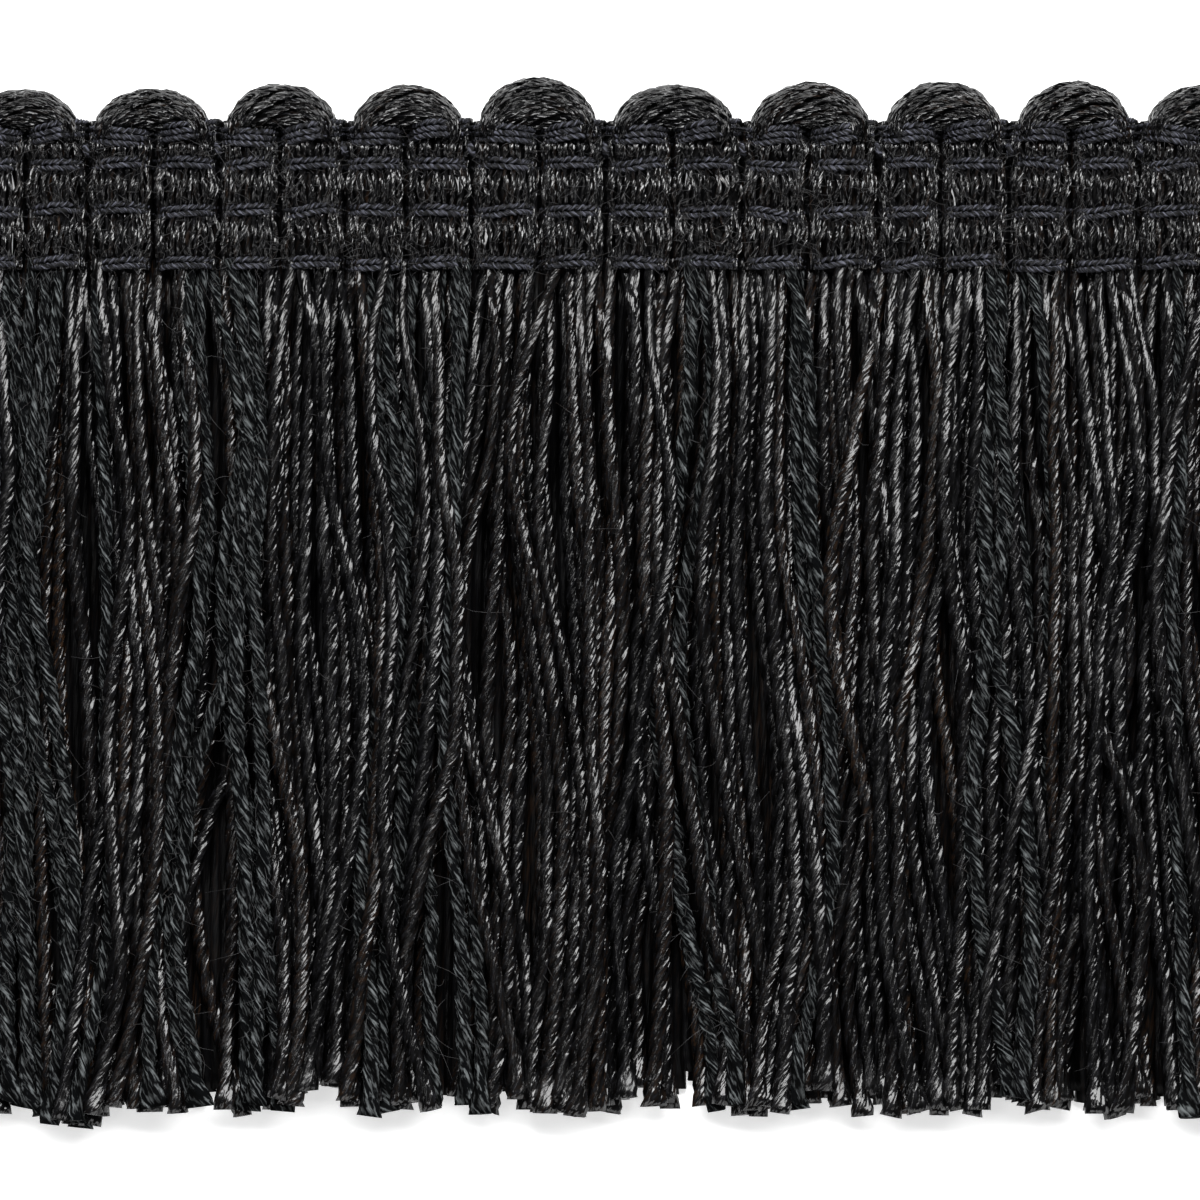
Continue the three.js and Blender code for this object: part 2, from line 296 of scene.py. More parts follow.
def bulge(drop):
    """How far the ribs swell: nothing under a band of thread, the root of a half sine between two bands."""
    row = np.clip(np.searchsorted(BINDING_DROPS, drop, side="right"), 1, len(BINDING_DROPS) - 1)
    start, end = BINDING_DROPS[row - 1] + HALF_BAND, BINDING_DROPS[row] - HALF_BAND
    share = np.clip((drop - start) / (end - start), 0, 1)
    return np.sin(math.pi * share) ** 0.5


def rib_size(width, swell):
    """Half a rib's width, and its height, both in and out with its swell."""
    half = width / 2 * (PINCH_SHARE + (BULGE_SHARE - PINCH_SHARE) * swell)
    return half, PINCH_CROWN + (BULGE_CROWN - PINCH_CROWN) * swell


# Materials

# A filament is about 0.02 mm thick, which is too fine to show. So the fibres, and the swellings that break
# the gloss of a ply into strokes, are drawn as coarse as they need to show.
LUMP_LENGTH = 0.9
LUMPS_ACROSS_PLY = 4
FIBRE_BEND = 0.3  # how far the noise bends the short fibres of spun yarn
DEEP_FROM, DEEP_TO = 0.52, 0.4  # noise values where a fibre starts to lie deep and lies deepest
WORN_FROM, WORN_TO = 0.4, 0.6  # noise values where a yarn starts to lose its gloss and has least of it
WORN_AROUND = 1.5
# Painted shade: the creases between a yarn's plies are darkened in its colour.
PAINTED_CREASE_SHADE = 0.15  # share of a yarn's colour that is left in the creases between its plies
CREASE_SHADE_REACH = 0.35  # share of a ply's width over which it comes back
HAZE_ROUGHNESS = 0.5


def add_node(material, kind, inputs=None, **settings):
    """Adds a shader node with its settings, then fills its inputs: a node is linked by its first output, a
    socket as it is, and any other value is set."""
    tree = material.node_tree
    node = tree.nodes.new("ShaderNode" + kind)
    for name, value in settings.items():
        setattr(node, name, value)
    for name, value in (inputs or {}).items():
        if isinstance(value, bpy.types.Node):
            value = value.outputs[0]
        if isinstance(value, bpy.types.NodeSocket):
            tree.links.new(value, node.inputs[name])
        else:
            node.inputs[name].default_value = value
    return node


def yarn_material(name, dark, pale, warm, plies, fibre, worn, roughness, relief, tone_and_shade_range=(0.5, 0.8), lumps=0.0,
                  fuzz=1.0, shine=0.5, haze=0.0):
    """A yarn's finish. Noise drawn out along the yarn, by a fibre's length in millimetres and so many round
    it, shades the fibres from dark to pale between two of its values and lifts single ones. The raised
    fibres come out pale and the deep ones dark, partly fibre tone and partly painted shade between the
    fibres. Fuzz is its detail, and above 1 the fibres bend. The yarn's own tint warms its deep fibres. The
    way round the yarn, folded once for each ply, paints shade into the creases between plies. Slower noise,
    of the worn length, takes the roughness from least to most. The height is the fibres' noise plus lumps
    times the swellings' noise, and relief is its scale in millimetres. Shine is the specular level, and
    haze a rough coat's weight."""
    material = bpy.data.materials.new(name)
    material.use_nodes = True
    material.node_tree.nodes.clear()
    node = partial(add_node, material)
    uv = node("UVMap", uv_map="Yarn")
    drawn = node("Mapping", {"Vector": uv, "Scale": (1 / fibre[0], fibre[1], 1)})
    bend = FIBRE_BEND if fuzz > 1 else 0.0
    fibres = node("TexNoise", {"Vector": drawn, "Scale": 1.0, "Detail": fuzz, "Distortion": bend})
    tint = node("Attribute", attribute_name="tint").outputs["Fac"]
    deep = node("MapRange", {"Value": fibres, "From Min": DEEP_FROM, "From Max": DEEP_TO})
    warmth = node("Math", {0: tint, 1: deep}, operation="MULTIPLY")
    body = node("Mix", {0: warmth, 6: (*dark, 1), 7: (*warm, 1)}, data_type="RGBA").outputs[2]
    # partly fibre tone, partly painted shade: the noise that raises a fibre also makes it pale, so the deep
    # fibres are darker
    pale_tone_and_shade = node("MapRange", {"Value": fibres, "From Min": tone_and_shade_range[0], "From Max": tone_and_shade_range[1]})
    shaded = node("Mix", {0: pale_tone_and_shade, 6: body, 7: (*pale, 1)}, data_type="RGBA").outputs[2]
    around = node("SeparateXYZ", {"Vector": uv}).outputs["Y"]
    spread = node("Math", {0: around, 1: plies}, operation="MULTIPLY")
    folded = node("Math", {0: spread, 1: 0.5}, operation="PINGPONG")
    # painted shade: the colour fades to black in the creases between plies
    crease_shade = node("MapRange", {"Value": folded, "From Max": CREASE_SHADE_REACH, "To Min": PAINTED_CREASE_SHADE})
    colour = node("Mix", {0: crease_shade, 6: (0, 0, 0, 1), 7: shaded}, data_type="RGBA").outputs[2]
    stretch = node("Mapping", {"Vector": uv, "Scale": (1 / worn, WORN_AROUND, 1)})
    wear = node("TexNoise", {"Vector": stretch, "Scale": 1.0, "Detail": 1.0})
    least, most = roughness
    rough = node("MapRange", {
        "Value": wear, "From Min": WORN_FROM, "From Max": WORN_TO, "To Min": least, "To Max": most,
    })
    knobbed = node("Mapping", {"Vector": uv, "Scale": (1 / LUMP_LENGTH, LUMPS_ACROSS_PLY * plies, 1)})
    swelling = node("TexNoise", {"Vector": knobbed, "Scale": 1.0, "Detail": 0.0})
    height = node("Math", {0: swelling, 1: lumps, 2: fibres}, operation="MULTIPLY_ADD")
    bump = node("Bump", {"Height": height, "Strength": 1.0, "Distance": relief * MM})
    shader = node("BsdfPrincipled", {
        "Base Color": colour, "Roughness": rough, "Normal": bump, "Specular IOR Level": shine,
        "Coat Weight": haze, "Coat Roughness": HAZE_ROUGHNESS,
    })
    node("OutputMaterial", {"Surface": shader})
    return material


def filament_yarn(colours):
    """Viscose filament twisted in three plies: smooth endless fibres give a narrow satin gloss that breaks
    into short glints, one on each ply where it turns to the light."""
    return yarn_material(
        "twisted_viscose_filament", colours.filament, colours.filament_pale, colours.filament_warm,
        plies=3, fibre=(0.4, 18), worn=6, roughness=(0.06, 0.24), relief=0.05, lumps=2.0,
        shine=0.42, haze=0.06,
    )


def bound_yarn(colours, name, **finish):
    """The same filament in two finer plies, pressed together in ribs and loops: fewer fibres show on each
    yarn, so its glints are longer."""
    return yarn_material(
        name, colours.filament, colours.filament_pale, colours.filament_warm,
        plies=2, fibre=(0.5, 8), worn=4, roughness=(0.08, 0.2), relief=0.1, **finish,
    )


def shaded_inner_yarn(colours, name, shine):
    """A shaded copy of the same filament, for yarns inside the heading and the pile: without pale fibres
    and with little gloss it comes out darker, which paints the shade that falls there.
    """
    return yarn_material(
        name, colours.filament, colours.filament, colours.filament_warm,
        plies=2, fibre=(1.2, 15), worn=5, roughness=(0.2, 0.5), relief=0.07, shine=shine,
    )


def spun_yarn(colours):
    """Spun acrylic in two soft plies: short crossed fibres scatter the light, so it is dull and greyer."""
    return yarn_material(
        "spun_acrylic_yarn", colours.spun, colours.spun_pale, colours.thread,
        plies=2, fibre=(0.6, 15), worn=3, roughness=(0.8, 1.0), relief=0.2, tone_and_shade_range=(0.5, 0.68),
        fuzz=3.0, shine=0.05,
    )


def binding_thread(colours):
    """Spun polyester thread in two hard plies: fine close fibres make it dull, with a faint purple cast."""
    return yarn_material(
        "spun_polyester_thread", colours.thread, colours.thread_pale, colours.spun,
        plies=2, fibre=(0.35, 9), worn=2, roughness=(0.6, 0.9), relief=0.08, tone_and_shade_range=(0.48, 0.58),
        fuzz=2.0, shine=0.25,
    )


def loose_fibre(colours):
    """Single fibres that stand off the yarn: thin and clear, so on the black they look grey and dull."""
    return yarn_material(
        "loose_viscose_fibre", colours.filament_pale, colours.hair, colours.filament_warm,
        plies=1, fibre=(0.5, 1), worn=2, roughness=(0.5, 0.7), relief=0.0, tone_and_shade_range=(0.35, 0.6),
    )


# Pieces


def settings(context):
    """The scene's sizes and colours."""
    return context.scene.fringe_sizes, context.scene.fringe_colours


WARMTH = (0.5, 4)  # how the tints of yarns spread: most are cool, and a few are warm


class FRINGE_OT_heading_ribs(bpy.types.Operator):
    """Makes the heading's ribs: yarns side by side around each rib, pressed in under the binding thread"""

    bl_idname = "fringe.heading_ribs"
    bl_label = "Heading Ribs"
    bl_options = {"REGISTER", "UNDO"}

    SEED = 11
    FIRST_DROP, BOTTOM_MARGIN = -0.2, 0.15
    STATIONS = (30, 10)  # of a fine and a coarse yarn
    CROWN_YARNS, CROWN_SPAN = 13, math.radians(80)
    SIDE_ANGLES = np.radians([-108, -92, 92, 108])
    INNER_THICKER, INNER_LAY = 1.4, 2.5
    BACK_YARNS, BACK_SPAN, BACK_HEIGHT = 5, math.radians(60), 0.3
    CORE_RADIUS, CORE_PLACES = 0.55, np.radians([-45, 0, 45])
    CORE_COVER, CORE_SHARE = 0.3, 0.9
    GROOVE_RADIUS, GROOVE_FLAT, GROOVE_HEIGHT = 0.62, 0.45, 0.3
    WANDER, WANDER_PACE, WANDER_HELD = 0.12, (1.5, 3), 0.3
    LAY_RANGE = (0.7, 1.4)

    def paths(self, angle, drop, radius, rng):
        """Yarn centres around every rib, at angles from straight up: half the rib's width times the sine,
        and the axis plus the crown's height over it times the cosine, both in and out with the bulge between
        rows. Each yarn wanders on a sine wave, less where the thread holds it."""
        swell = bulge(drop)
        half, crown = rib_size(RIB_WIDTH[:, None, None], swell)
        shape = (len(RIB_MIDDLE), len(angle), len(drop))
        phase = rng.uniform(0, TURN, (2, *shape[:2], 1))
        reach = rng.normal(0, self.WANDER, phase.shape)
        wander = reach * np.sin(drop * rng.uniform(*self.WANDER_PACE, phase.shape) + phase)
        wander *= self.WANDER_HELD + (1 - self.WANDER_HELD) * swell
        x = RIB_MIDDLE[:, None, None] + (half - radius) * np.sin(angle)[:, None] + wander[0]
        z = RIB_CORE + (crown - radius - RIB_CORE) * np.cos(angle)[:, None] + wander[1]
        y = np.broadcast_to(TOP_EDGE - drop, shape)
        return np.stack([x, y, z], axis=-1).reshape(-1, len(drop), 3)

    def yarn(self, centres, radius, profile, lay, rng, flat=1.0):
        """Sweeps yarns of one radius, each with its own lay, phase and tint."""
        phase = rng.uniform(0, TURN, (len(centres), 1))
        turn = twist(centres, lay * rng.uniform(*self.LAY_RANGE, phase.shape), phase, RIGHT_HAND)
        tint = rng.beta(*WARMTH, len(centres))
        return sweep(centres, radius, profile, turn, tint, flat)

    def execute(self, context):
        sizes, colours = settings(context)
        rng = np.random.default_rng(self.SEED)
        radius, lay = sizes.bound_diameter / MM / 2, sizes.bound_lay / MM
        bottom = HEADING_HIGH[1] - HEADING_LOW[1] - self.BOTTOM_MARGIN
        fine, coarse = (np.linspace(self.FIRST_DROP, bottom, count) for count in self.STATIONS)
        angle = np.linspace(-self.CROWN_SPAN, self.CROWN_SPAN, self.CROWN_YARNS)
        crown = self.yarn(self.paths(angle, fine, radius, rng), radius, BOUND_YARN, lay, rng)
        material = bound_yarn(colours, "bound_viscose_filament", shine=0.68, haze=0.08, lumps=1.8)
        make_piece("heading_ribs", [crown], material, "woven_heading", "heading")
        # Inside lie thicker yarns: along the back, in each rib, down its sides and in the grooves.
        radius, lay = radius * self.INNER_THICKER, lay * self.INNER_LAY
        angle = np.linspace(-self.BACK_SPAN, self.BACK_SPAN, self.BACK_YARNS) + math.pi
        back = self.paths(angle, coarse, radius, rng)
        back[..., 2] = np.maximum(back[..., 2], radius + self.BACK_HEIGHT)
        core = self.paths(self.CORE_PLACES, coarse, self.CORE_RADIUS + self.CORE_COVER, rng)
        middle = RIB_MIDDLE.repeat(len(self.CORE_PLACES))[:, None]
        core[..., 0] = middle + (core[..., 0] - middle) * self.CORE_SHARE
        groove = np.broadcast_arrays(RIB_EDGES[1:-1, None], TOP_EDGE - coarse, self.GROOVE_HEIGHT)
        groove = np.stack(groove, axis=-1)
        made = [
            self.yarn(self.paths(self.SIDE_ANGLES, coarse, radius, rng), radius, ROUND_YARN, lay, rng),
            self.yarn(back, radius, ROUND_YARN, lay, rng),
            self.yarn(core, self.CORE_RADIUS, ROUND_YARN, lay, rng),
            self.yarn(groove, self.GROOVE_RADIUS, ROUND_YARN, lay, rng, self.GROOVE_FLAT),
        ]
        # Painted shade: the core, back, side and groove yarns take a darker, low-gloss copy of the filament.
        material = shaded_inner_yarn(colours, "shaded_core_viscose_filament", shine=0.05)
        make_piece("heading_core", made, material, "woven_heading", "heading")
        return {"FINISHED"}


class FRINGE_OT_binding_threads(bpy.types.Operator):
    """Makes the rows of binding thread that cross the ribs and dive into the grooves between them"""

    bl_idname = "fringe.binding_threads"
    bl_label = "Binding Threads"
    bl_options = {"REGISTER", "UNDO"}

    SEED = 23
    STEPS_ACROSS_RIB, STEPS_BEHIND_RIB = 36, 12
    SHOULDER = 0.97
    SUNK_SHARE = 0.9
    GROOVE_HEIGHT = 0.2
    BAND = (-0.95, 0.95)  # the threads of a band, in radii from its middle
    EDGE_BAND = (-1.9, 0, 1.9)
    EDGE_LIFT, EDGE_SLOPE, EDGE_RISE = 0.4, (-0.12, 0.26), (-0.05, 0.15)
    UNEVEN, BOW, LIFT = 0.03, 0.07, 0.04
    SLANT_MEAN, SLANT_SPREAD = 0.07, 0.16
    BACK_LAY = 3
    TIE_DROP, TIE_RADIUS, TIE_HEIGHT = 1.25, 0.2, 2.35
    TIE_WIDTH, TIE_REACH, TIE_STATIONS = 0.25, 0.35, 12

    def course(self, edge, rng):
        """How one band runs over each rib: the slope across it and the rise that only the edge's band has,
        plus a bow, a slant and a lift that differ from rib to rib."""
        count = len(RIB_MIDDLE)
        pairs = (self.EDGE_SLOPE, self.EDGE_RISE)
        slope, rise = (np.tile(pair, count // 2)[:, None] * edge for pair in pairs)
        return {
            "slope": slope + rng.normal(0, self.UNEVEN, (count, 1)),
            "rise": rise + rng.normal(0, self.UNEVEN, (count, 1)),
            "bow": rng.normal(0, self.BOW, (count, 1)),
            "slant": rng.normal(self.SLANT_MEAN, self.SLANT_SPREAD, (count, 1)),
            "lift": rng.normal(0, self.LIFT, (count, 1)),
        }

    def path(self, drop, crown, low, steps, course):
        """A thread over every rib: its height is a half ellipse across the rib, from the groove beyond its
        shoulder up to the crown. Along Y it follows the band's course, whose bow and slant die out at the
        grooves."""
        share = np.linspace(-1, 1, steps, endpoint=False) + 1 / steps
        loose = 1 - share**2
        x = RIB_MIDDLE[:, None] + RIB_WIDTH[:, None] / 2 * share
        y = TOP_EDGE - drop + course["rise"] + course["slope"] * share
        y = y + course["bow"] * loose + course["slant"] * share * loose
        arch = np.sqrt(np.clip(1 - (share / self.SHOULDER) ** 2, 0, 1))
        z = low + (crown + course["lift"] - low) * arch
        return np.stack([x, y, z], axis=-1).reshape(1, -1, 3)

    def ties(self):
        """Short stitches in the grooves between two loops: a half sine wave up to the ribs' height and back,
        while Y goes half a cosine wave down."""
        share = np.linspace(0, 1, self.TIE_STATIONS)
        x = RIB_EDGES[2:-1:2, None] + self.TIE_WIDTH * (share - 0.5)
        y = TOP_EDGE - self.TIE_DROP + self.TIE_REACH * np.cos(math.pi * share)
        z = self.GROOVE_HEIGHT + (self.TIE_HEIGHT - self.GROOVE_HEIGHT) * np.sin(math.pi * share)
        return np.stack(np.broadcast_arrays(x, y, z), axis=-1)

    def execute(self, context):
        sizes, colours = settings(context)
        rng = np.random.default_rng(self.SEED)
        radius, lay = sizes.thread_diameter / MM / 2, sizes.thread_lay / MM
        crown = PINCH_CROWN + radius * self.SUNK_SHARE
        made = []
        for row, drop in enumerate(BINDING_DROPS):
            edge = row == 0
            course = self.course(edge, rng)
            high = crown + self.EDGE_LIFT * edge
            for step in self.EDGE_BAND if edge else self.BAND:
                hand = LEFT_HAND if step < 0 else RIGHT_HAND
                place = drop + step * radius
                centres = self.path(place, high, self.GROOVE_HEIGHT, self.STEPS_ACROSS_RIB, course)
                turn = twist(centres, lay, rng.uniform(0, TURN), hand)
                made.append(sweep(centres, radius, THREAD, turn, rng.uniform(0, 1, 1)))
            # Each band has one thread along the back, which lies flat.
            centres = self.path(drop, radius, radius, self.STEPS_BEHIND_RIB, course)
            centres[..., 2] = radius
            turn = twist(centres, lay * self.BACK_LAY, 0.0, LEFT_HAND)
            made.append(sweep(centres, radius, THREAD, turn, rng.uniform(0, 1, 1)))
        centres = self.ties()
        turn = twist(centres, lay, rng.uniform(0, TURN, (len(centres), 1)), LEFT_HAND)
        made.append(sweep(centres, self.TIE_RADIUS, THREAD, turn, np.zeros(len(centres))))
        make_piece("binding_threads", made, binding_thread(colours), "woven_heading", "heading")
        return {"FINISHED"}


class FRINGE_OT_loops(bpy.types.Operator):
    """Makes the scalloped edge: bundles of yarn that rise from one rib, turn over and go into the next"""

    bl_idname = "fringe.loops"
    bl_label = "Loops"
    bl_options = {"REGISTER", "UNDO"}

    FIRST_SEED = 40
    STATIONS = 26
    RINGS = ((20, 0.9), (10, 0.55))  # yarns in each ring of the bundle, and the ring's share of its radius
    OUTERMOST = 0.95
    EYE = 0.05
    SPREAD = 0.55
    TALLER = 1.04
    TURN_ON = 2.5
    SPRING_DROP = 0.3
    FOOT, FOOT_COURSE, FOOT_SQUEEZE = 0.55, 0.5, 0.28
    SWAY, SWAY_PACE = 0.1, (0.8, 2.2)
    JITTER, JITTER_PACE = 0.06, (1, 3)
    THICKER = (1.1, 1.5)

    def execute(self, context):
        """Each yarn follows a half ellipse from foot to foot. Its place in the bundle, an angle and a share
        of the bundle's radius, sets how far out it turns and how high it lies. The bundle twists on its way,
        and each yarn sways round it and in and out on sine waves. The feet of the inner yarns spread, so
        their ellipses are flatter."""
        sizes, colours = settings(context)
        material = bound_yarn(colours, "looped_viscose_filament", shine=0.5, haze=0.0, lumps=4.5)
        radius, lay = sizes.bound_diameter / MM / 2, sizes.bound_lay / MM
        reach = np.concatenate([np.full(count, share) for count, share in self.RINGS])[:, None]
        place = np.concatenate([TURN * np.arange(count) / count for count, _ in self.RINGS])[:, None]
        course = np.linspace(-self.FOOT_COURSE, math.pi + self.FOOT_COURSE, self.STATIONS)
        arc = np.clip(course, 0, math.pi)
        foot = np.abs(course - arc) / self.FOOT_COURSE
        squeeze = 1 - self.FOOT_SQUEEZE * ease(foot)
        spring = TOP_EDGE - self.SPRING_DROP
        for k, node in enumerate(LOOP_NODES):
            rng = np.random.default_rng(self.FIRST_SEED + k)
            low, high = LOOP_LOW[k], LOOP_HIGH[k]
            middle, half = (low + high) / 2, (high - low) / 2
            angle = place - self.TURN_ON * arc / math.pi + rng.uniform(0, TURN)
            pace, phase = rng.uniform(*self.SWAY_PACE, reach.shape), rng.uniform(0, TURN, reach.shape)
            angle = angle + self.SWAY * np.sin(pace * arc + phase)
            pace, phase = rng.uniform(*self.JITTER_PACE, reach.shape), rng.uniform(0, TURN, reach.shape)
            ring = np.minimum(reach * (1 + self.JITTER * np.sin(pace * arc + phase)), self.OUTERMOST)
            out = (1 + self.EYE) / 2 + (1 - self.EYE) / 2 * ring * np.cos(angle)
            x = middle[0] - half[0] * (self.SPREAD + (1 - self.SPREAD) * out) * np.cos(arc)
            y = spring + (high[1] - spring) * self.TALLER * out * np.sin(arc) - self.FOOT * foot
            z = middle[2] + half[2] * reach * np.sin(angle) * squeeze
            centres = np.stack([x, y, z], axis=-1)
            turn = twist(centres, lay, rng.uniform(0, TURN, reach.shape), RIGHT_HAND)
            thick = radius * rng.uniform(*self.THICKER, reach.shape)
            made = sweep(centres, thick, BOUND_YARN, turn, rng.beta(*WARMTH, len(centres)))
            make_piece(f"loop_{k + 1:02d}", [made], material, "looped_yarn", node)
        return {"FINISHED"}


# The skirt's yarns: layer, place along the trim, length, whether it is spun, how far it sinks at the root,
# over what depth it rises, how far it swells there, and its path in even slices of depth.
SkirtYarns = namedtuple("SkirtYarns", "layer place length spun sink rise swell x z")

SKIRT_SEED = 5
SKIRT_ROOT = 6.6  # drop of the yarns' roots, under the lowest row of thread
FRONT, MIDDLE, BED = range(3)
LAYER_YARNS = (6, 4, 7)
LAYER_HEIGHT = (2.4, 1.4, 0.6)
LAYER_PHASE = 0.6  # from the locks of one layer to those of the next
LAYER_SHORTER = 0.25
ROOT_SHARE = 0.93  # share of a rib's width that its roots take up
ROOT_SPREAD, ROOT_UNEVEN = 0.15, 0.2
ROOT_SINK = (0.55, 0.4, 0.0)
ROOT_SWELL = (0.4, 0.25, 0.0)
ROOT_RISE, SWELL_RANGE = (1.8, 6), (0, 1.5)
SINK_FROM, SWELL_FALL = 0.4, 9
ROOT_PRESSED, ROOT_GAIN, GAIN_DEPTH = 0.84, 0.26, 14
BED_THICKER = 1.2
SPUN_SHARE, STRAY_SHARE = 0.75, 0.1
SLICE = 0.7
LOOSE_DEPTH = 16  # depth at which locks and wander have their full reach
WANDER, WANDER_LENGTH = 0.8, (24, 60)
RIPPLE, RIPPLE_LENGTH = 0.16, (8, 18)
DRIFT, DRIFT_FROM = (0.04, 0.14), (4, 22)  # of strays, a millimetre of depth, and from what depth
STRAY_LIFT, STRAY_CLIMB = 0.08, 5
LEAN, LEAN_LENGTH = 0.2, 9.0  # the yarns' lean at the root, and how far down they keep it
INWARDS_FROM = 31.0  # from the trim's middle; beyond it stray yarns lean inwards
END_MARGIN = 0.4
FOLLOW = 0.3  # share of the way to its target that a yarn goes in one slice
FALL = 0.05
CREST = 3.6  # how high the pile can push a yarn
PUSH_PASSES, PUSH_ACROSS, PUSH_UP = 10, 0.16, 0.4
SMOOTH_PASSES = 6
CUT_MARGIN, CUT_UNEVEN = 1.15, 0.4


def root_squeeze(depth):
    """How thick a yarn is near its root, as a share: the lowest thread presses it, and it swells below."""
    return ROOT_PRESSED + ROOT_GAIN * ease(depth / GAIN_DEPTH)


def skirt_yarns(sizes):
    """Lays the skirt's yarns down slice by slice. In each slice a yarn eases towards its even place, moved
    by the locks, its own slow wander and ripple, the lean of its root and, for a few, a drift across others.
    Then yarns that overlap push each other apart like discs. The back layer stays a still, close bed on the
    floor. Each path is smoothed by averaging neighbours, and the cut has its dips where the tips lie."""
    rng = np.random.default_rng(SKIRT_SEED)
    columns = [
        (layer, rib, (k + 0.5) / count - 0.5)
        for layer, count in enumerate(LAYER_YARNS) for rib in range(len(RIB_MIDDLE)) for k in range(count)
    ]
    layer, rib, share = (np.array(column) for column in zip(*columns))
    number = len(layer)
    place = RIB_MIDDLE[rib] + RIB_WIDTH[rib] * share
    front, bed = layer == FRONT, layer == BED
    off = place - TRIM_MIDDLE
    dull = (np.abs(off[:, None] - SPUN_AT) < SPUN_REACH).any(axis=1)
    spun = dull & front & (rng.random(number) < SPUN_SHARE)
    filament = np.where(bed, BED_THICKER, 1) * sizes.yarn_diameter
    radius = np.where(spun, sizes.spun_diameter, filament) / MM / 2
    full = TOP_EDGE - SKIRT_ROOT - SKIRT_LOW[1]
    slices = math.ceil(full / SLICE) + 2
    wander_reach, wander_length = rng.normal(0, WANDER, number), rng.uniform(*WANDER_LENGTH, number)
    ripple_reach, ripple_length = rng.normal(0, RIPPLE, number), rng.uniform(*RIPPLE_LENGTH, number)
    wander_phase, ripple_phase = rng.uniform(0, TURN, (2, number))
    stray = (rng.random(number) < STRAY_SHARE) & front & ~spun
    inwards = np.where(np.abs(off) > INWARDS_FROM, -np.sign(off), rng.choice([-1, 1], number))
    drift = np.where(stray, rng.uniform(*DRIFT, number) * inwards, 0)
    drift_from = rng.uniform(*DRIFT_FROM, number)
    lean = rng.normal(0, LEAN, number)
    root = RIB_MIDDLE[rib] + RIB_WIDTH[rib] * share * ROOT_SHARE + rng.normal(0, ROOT_SPREAD, number)
    x = np.where(bed, place, root)
    z = np.array(LAYER_HEIGHT)[layer] + rng.normal(0, ROOT_UNEVEN, number)
    sink = np.array(ROOT_SINK)[layer] + (2 * share) ** 2 * front
    rise = rng.uniform(*ROOT_RISE, number)
    swell = np.array(ROOT_SWELL)[layer] * rng.uniform(*SWELL_RANGE, number)
    ends = SKIRT_LOW[0] + END_MARGIN, SKIRT_HIGH[0] - END_MARGIN
    xs, zs = [x], [z]
    for depth in SLICE * np.arange(1, slices):
        locks = sum(
            reach * np.sin(TURN * place / length + phase + swing * depth + LAYER_PHASE * layer)
            for length, reach, phase, swing in LOCK_WAVES
        )
        held = np.where(bed, radius, radius * root_squeeze(depth))
        wander = wander_reach * np.sin(TURN * depth / wander_length + wander_phase)
        ripple = ripple_reach * np.sin(TURN * depth / ripple_length + ripple_phase)
        moved = (locks + wander + ripple) * ease(depth / LOOSE_DEPTH)
        target = place + moved + drift * np.maximum(depth - drift_from, 0)
        target = np.clip(target + lean * depth * math.exp(-depth / LEAN_LENGTH), *ends)
        x = x + FOLLOW * (target - x)
        z = z - FALL + STRAY_LIFT * (stray & (depth > drift_from) & (depth < drift_from + STRAY_CLIMB))
        for _ in range(PUSH_PASSES):
            across, above = x[:, None] - x, z[:, None] - z
            distance = np.sqrt(across**2 + above**2) + 1e-6
            push = np.clip(held[:, None] + held - distance, 0, None) / distance
            np.fill_diagonal(push, 0)
            x = np.where(bed, place, x + PUSH_ACROSS * (push * across).sum(axis=1))
            up = np.clip(z + PUSH_UP * (push * above).sum(axis=1), radius, CREST)
            z = np.where(bed, radius, up)
        xs.append(x)
        zs.append(z)
    tracks = np.array(xs).T, np.array(zs).T
    for track in tracks:
        for _ in range(SMOOTH_PASSES):
            track[:, 1:-1] = (track[:, :-2] + 2 * track[:, 1:-1] + track[:, 2:]) / 4
    tips = tracks[0][:, -3, None] - TRIM_MIDDLE
    dips = DIP_DEPTH * np.exp(-((tips - DIP_AT) / DIP_REACH) ** 2)
    uneven = rng.uniform(-CUT_UNEVEN, CUT_UNEVEN, number)
    length = full - CUT_MARGIN - dips.sum(axis=1) - uneven - LAYER_SHORTER * layer
    return SkirtYarns(layer, place, length, spun, sink, rise, swell, *tracks)


def skirt_points(yarns, rows, depth):
    """Centres of these yarns at these depths, straight between slices. At the root the front yarns are sunk
    under the thread, then they rise to a swell below it and fall back."""
    before = np.minimum((depth / SLICE).astype(int), yarns.x.shape[1] - 2)
    part = depth / SLICE - before
    x, z = (
        track[rows, before] * (1 - part) + track[rows, before + 1] * part for track in (yarns.x, yarns.z)
    )
    rise = yarns.rise[rows]
    z = z - yarns.sink[rows] * (1 - ease((depth - SINK_FROM) / rise))
    z = z + yarns.swell[rows] * (ease(depth / (2 * rise)) - ease((depth - 2 * rise) / SWELL_FALL))
    return np.stack([x, TOP_EDGE - SKIRT_ROOT - depth, z], axis=-1)


